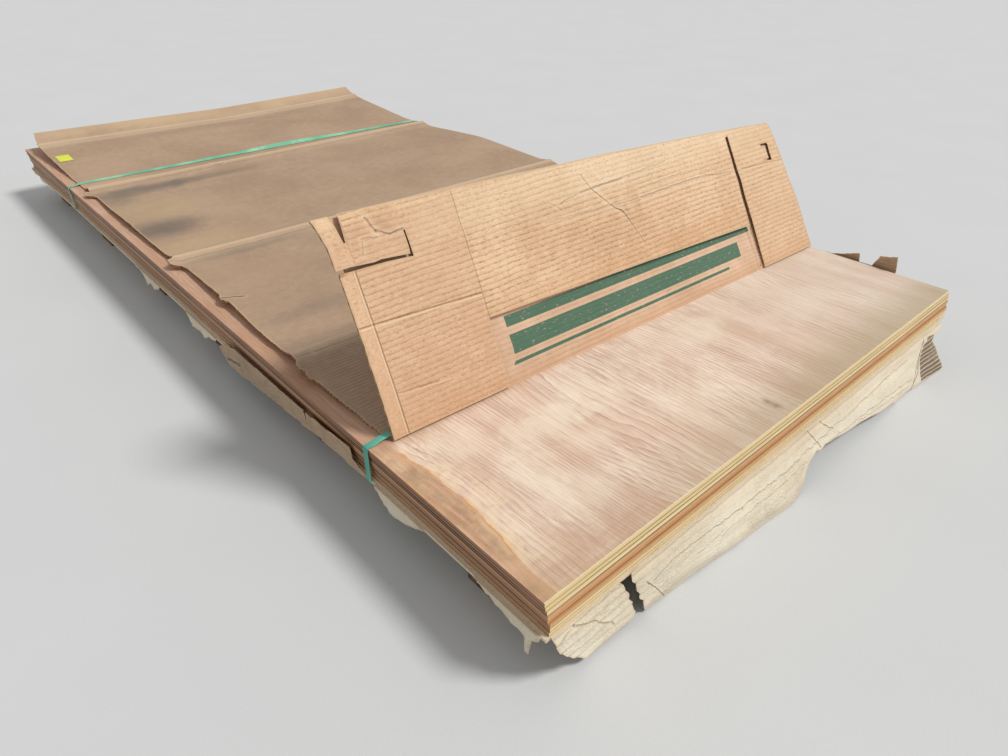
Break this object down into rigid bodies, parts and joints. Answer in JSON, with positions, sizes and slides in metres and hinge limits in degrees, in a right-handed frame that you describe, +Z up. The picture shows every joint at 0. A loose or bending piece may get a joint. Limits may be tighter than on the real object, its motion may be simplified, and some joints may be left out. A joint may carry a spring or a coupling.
{
  "type": "strapped plywood sheet stack",
  "caption": "Low stack of plywood sheets on timber bearers, strapped under a creased corrugated cover whose end flap is folded up to show the top sheet.",
  "frame": {"origin": "On the floor, under the middle of the third bearer from the opened end, which is 140 mm short of the middle of the sheets", "axes": "+Z up; +Y along the sheets, away from the opened end; +X across them, to the right seen from the opened end"},
  "size_m": [1.2376, 2.4922, 0.4595],
  "materials": {
    "plywood": "sanded veneer, unfinished",
    "bearer_timber": "rough sawn, weathered",
    "pad_board": "creased corrugated board, pale liner",
    "cover_board": "creased corrugated board, brown liner",
    "facing_board": "creased corrugated board, tan liner",
    "strap_band": "embossed, slightly glossy",
    "label_paper": "matt"
  },
  "bodies": {
    "root": {"sheet_01": "plywood", "sheet_02": "plywood", "sheet_03": "plywood", "sheet_04": "plywood", "sheet_05": "plywood", "sheet_06": "plywood", "sheet_07": "plywood", "sheet_08": "plywood", "bearer_01": "bearer_timber", "bearer_02": "bearer_timber", "bearer_03": "bearer_timber", "bearer_04": "bearer_timber", "bearer_05": "bearer_timber", "bearer_06": "bearer_timber", "bottom_pad": "pad_board", "left_flange": "pad_board", "right_flange": "pad_board", "top_cover": "cover_board", "flap_facing": "facing_board", "strap_near": "strap_band", "strap_far": "strap_band", "lot_label": "label_paper"}
  },
  "joints": []
}
